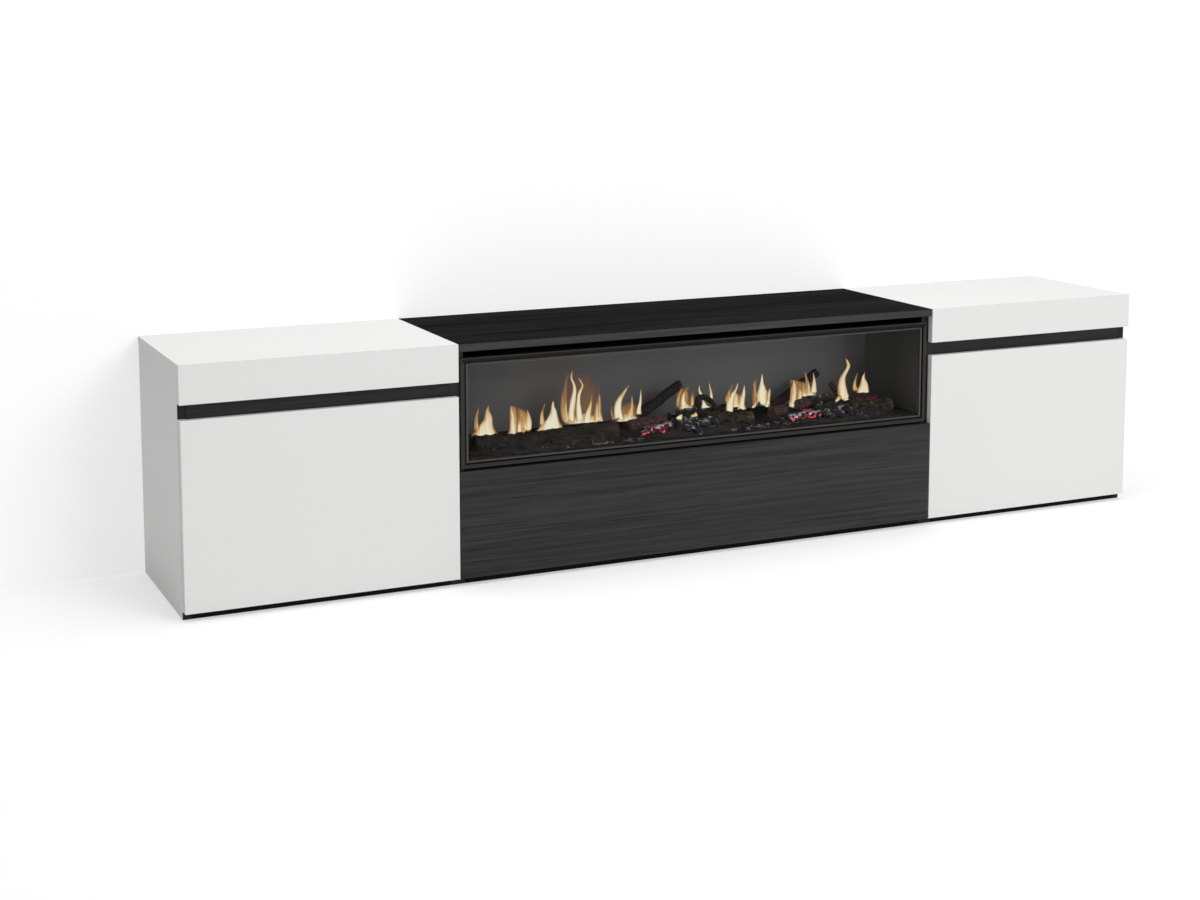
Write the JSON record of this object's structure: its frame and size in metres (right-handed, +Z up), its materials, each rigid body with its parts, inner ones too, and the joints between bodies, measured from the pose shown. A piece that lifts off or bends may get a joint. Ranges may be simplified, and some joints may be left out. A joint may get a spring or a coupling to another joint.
{
  "type": "fireplace tv stand",
  "caption": "Long low media cabinet with an electric fireplace in the middle over a drop-down flap, and a closed cabinet with a drop-down flap at each end.",
  "frame": {"origin": "on the floor under the middle of the cabinet", "axes": "+X to the right along the length, +Y to the back, fronts face -Y, +Z up"},
  "size_m": [2.6, 0.432, 0.573],
  "materials": {
    "white_lacquer": "white satin lacquer on board",
    "black_woodgrain": "matt black board with a fine horizontal wood grain",
    "black_edging": "black edge band",
    "hinge_steel": "nickel-plated steel",
    "stay_steel": "zinc-plated steel",
    "trim_metal": "satin black powder coat",
    "fire_glass": "clear toughened glass",
    "housing_steel": "matt black steel",
    "flame_screen": "grey satin screen",
    "embers": "charred and mossy bark, moulded",
    "socket_plastic": "black plastic"
  },
  "bodies": {
    "carcass": {"left_outer_side": "white_lacquer", "left_side_edging": "black_edging", "left_inner_side": "black_woodgrain", "left_bottom": "black_woodgrain", "left_finger_rail": "black_woodgrain", "left_back": "black_woodgrain", "left_top": "white_lacquer", "left_fascia": "white_lacquer", "left_hinge_1_base": "hinge_steel", "left_hinge_2_base": "hinge_steel", "left_stay_track": "stay_steel", "right_outer_side": "white_lacquer", "right_side_edging": "black_edging", "right_inner_side": "black_woodgrain", "right_bottom": "black_woodgrain", "right_finger_rail": "black_woodgrain", "right_back": "black_woodgrain", "right_top": "white_lacquer", "right_fascia": "white_lacquer", "right_hinge_1_base": "hinge_steel", "right_hinge_2_base": "hinge_steel", "right_stay_track": "stay_steel", "centre_left_side": "black_woodgrain", "centre_right_side": "black_woodgrain", "centre_top": "black_woodgrain", "centre_bottom": "black_woodgrain", "centre_shelf": "black_woodgrain", "centre_back": "black_woodgrain", "centre_hinge_1_base": "hinge_steel", "centre_hinge_2_base": "hinge_steel", "centre_hinge_3_base": "hinge_steel", "centre_left_stay_track": "stay_steel", "centre_right_stay_track": "stay_steel", "fire_trim": "trim_metal", "fire_glass": "fire_glass", "fire_housing": "housing_steel", "fire_screen": "flame_screen", "fire_tray": "housing_steel", "fire_logs_left": "embers", "fire_logs_centre": "embers", "fire_logs_right": "embers", "fire_power_inlet": "socket_plastic"},
    "left_flap_unit": {"left_flap": "white_lacquer", "left_hinge_1_leaf": "hinge_steel", "left_hinge_2_leaf": "hinge_steel", "left_stay_bracket": "stay_steel"},
    "left_arm": {"left_stay_arm": "stay_steel"},
    "right_flap_unit": {"right_flap": "white_lacquer", "right_hinge_1_leaf": "hinge_steel", "right_hinge_2_leaf": "hinge_steel", "right_stay_bracket": "stay_steel"},
    "right_arm": {"right_stay_arm": "stay_steel"},
    "centre_left_arm": {"centre_left_stay_arm": "stay_steel"},
    "centre_right_arm": {"centre_right_stay_arm": "stay_steel"},
    "centre_flap_unit": {"centre_flap": "black_woodgrain", "centre_hinge_1_leaf": "hinge_steel", "centre_hinge_2_leaf": "hinge_steel", "centre_hinge_3_leaf": "hinge_steel", "centre_left_stay_bracket": "stay_steel", "centre_right_stay_bracket": "stay_steel"}
  },
  "joints": [
    {"name": "left_flap_hinge", "type": "hinge", "parent": "carcass", "child": "left_flap_unit", "pos_m": [-0.977, -0.2015, 0.0195], "axis": [1, 0, 0], "range_deg": [0, 90]},
    {"name": "right_flap_hinge", "type": "hinge", "parent": "carcass", "child": "right_flap_unit", "pos_m": [0.977, -0.2015, 0.0195], "axis": [1, 0, 0], "range_deg": [0, 90]},
    {"name": "centre_flap_hinge", "type": "hinge", "parent": "carcass", "child": "centre_flap_unit", "pos_m": [0, -0.2015, 0.0195], "axis": [1, 0, 0], "range_deg": [0, 90]},
    {"name": "left_stay_pivot", "type": "hinge", "parent": "left_flap_unit", "child": "left_arm", "pos_m": [-1.27315, -0.186, 0.1395], "axis": [1, 0, 0], "range_deg": [-62.5, 0]},
    {"name": "right_stay_pivot", "type": "hinge", "parent": "right_flap_unit", "child": "right_arm", "pos_m": [1.27315, -0.186, 0.1395], "axis": [1, 0, 0], "range_deg": [-62.5, 0]},
    {"name": "centre_left_stay_pivot", "type": "hinge", "parent": "centre_flap_unit", "child": "centre_left_arm", "pos_m": [-0.62715, -0.186, 0.0895], "axis": [1, 0, 0], "range_deg": [-66.5, 0]},
    {"name": "centre_right_stay_pivot", "type": "hinge", "parent": "centre_flap_unit", "child": "centre_right_arm", "pos_m": [0.62715, -0.186, 0.0895], "axis": [1, 0, 0], "range_deg": [-66.5, 0]}
  ],
  "couplings": [
    {"joint": "left_stay_pivot", "follows": "left_flap_hinge", "ratio": -0.691},
    {"joint": "right_stay_pivot", "follows": "right_flap_hinge", "ratio": -0.691},
    {"joint": "centre_left_stay_pivot", "follows": "centre_flap_hinge", "ratio": -0.733},
    {"joint": "centre_right_stay_pivot", "follows": "centre_flap_hinge", "ratio": -0.733}
  ]
}
